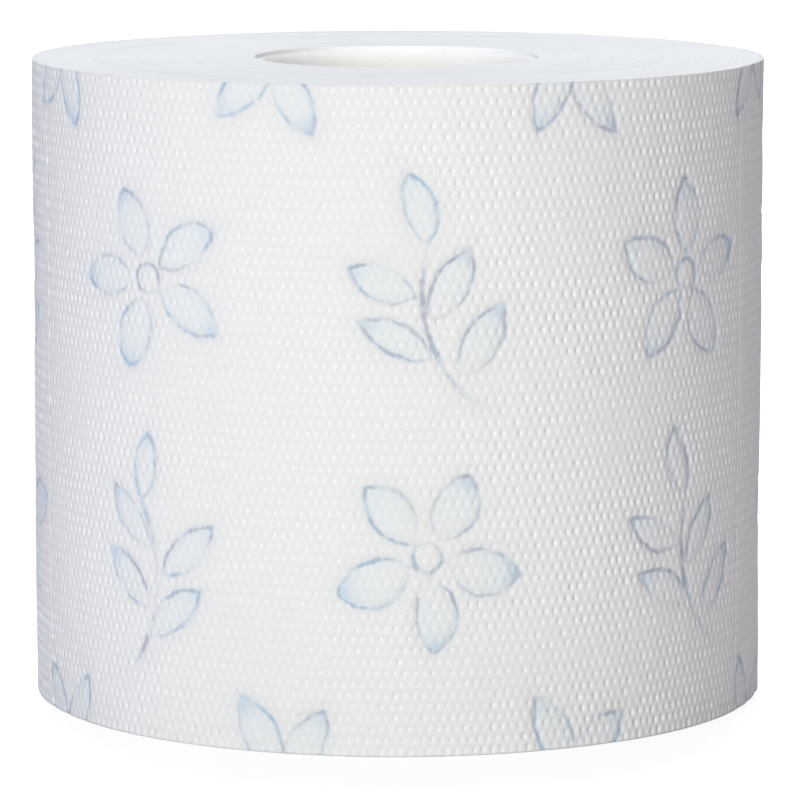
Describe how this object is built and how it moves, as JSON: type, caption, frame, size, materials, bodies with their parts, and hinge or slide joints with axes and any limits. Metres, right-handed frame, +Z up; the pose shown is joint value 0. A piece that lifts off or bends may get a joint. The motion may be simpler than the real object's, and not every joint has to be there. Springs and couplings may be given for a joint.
{
  "type": "toilet paper roll",
  "caption": "Standing roll of soft embossed toilet paper, perforated into sheets and wound on a board tube that slips over a holder's rod.",
  "frame": {"origin": "centre of the lower end, on the surface that the roll stands on", "axes": "+Z up along the winding axis; the front, as pictured, faces -Y; the web's free end lies on the back, 21 degrees from +Y towards -X"},
  "size_m": [0.1114, 0.1118, 0.097],
  "materials": {
    "tissue_paper": "matt soft tissue, embossed with rows of small dimples and pale blue flowers and leaves",
    "core_board": "matt warm white uncoated board, spirally wound"
  },
  "bodies": {
    "root": {"core_tube": "core_board", "paper_roll": "tissue_paper"}
  },
  "joints": []
}
